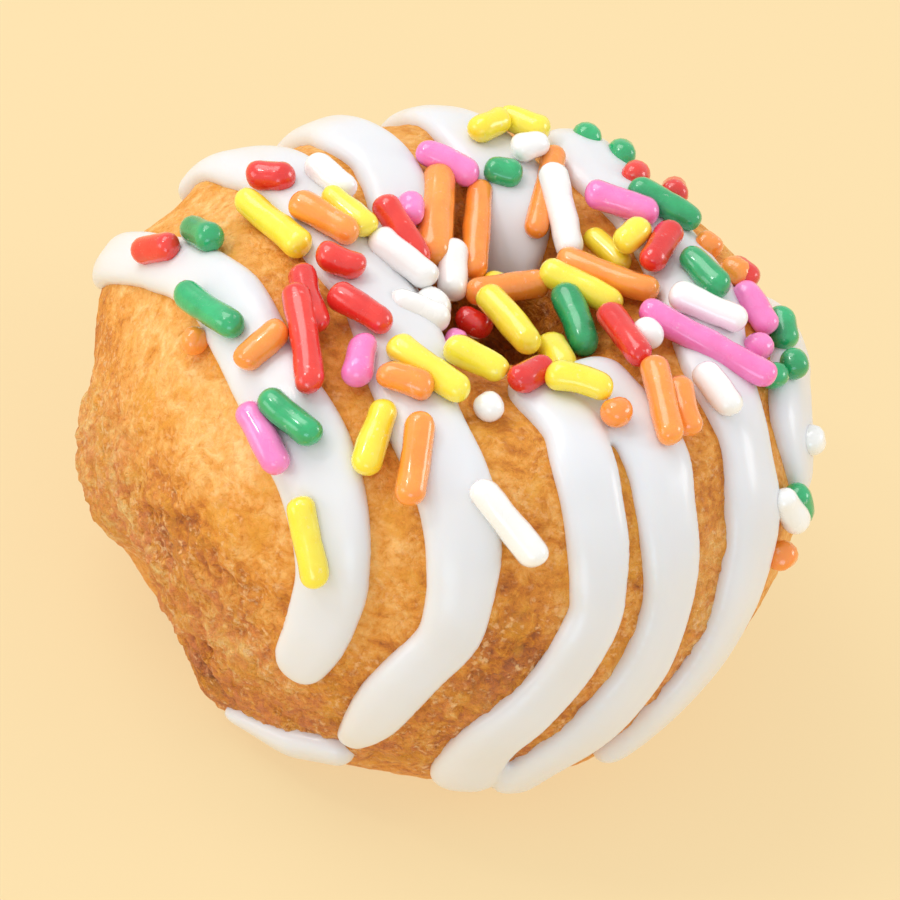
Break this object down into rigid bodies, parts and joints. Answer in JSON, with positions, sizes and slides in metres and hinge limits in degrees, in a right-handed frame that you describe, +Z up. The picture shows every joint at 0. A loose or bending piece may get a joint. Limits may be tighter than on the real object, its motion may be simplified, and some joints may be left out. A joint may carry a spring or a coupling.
{
  "type": "mini doughnut",
  "caption": "Small plump ring doughnut with a narrow hole, fried golden crust, white icing drizzled across in bands and coloured rod sprinkles on top.",
  "frame": {"origin": "middle of the outline, on the plane of the flat foot", "axes": "+Z up, along the axis of the ring's hole; -Y towards the side the picture shows; +X to the right of that side"},
  "size_m": [0.0466, 0.0474, 0.0293],
  "materials": {
    "dough": "slightly oily browned crust",
    "icing": "smooth glossy white icing",
    "red_sprinkles": "glossy sugar",
    "orange_sprinkles": "glossy sugar",
    "yellow_sprinkles": "glossy sugar",
    "green_sprinkles": "glossy sugar, mottled",
    "pink_sprinkles": "glossy sugar",
    "white_sprinkles": "glossy sugar"
  },
  "bodies": {
    "root": {"doughnut": "dough"}
  },
  "joints": []
}
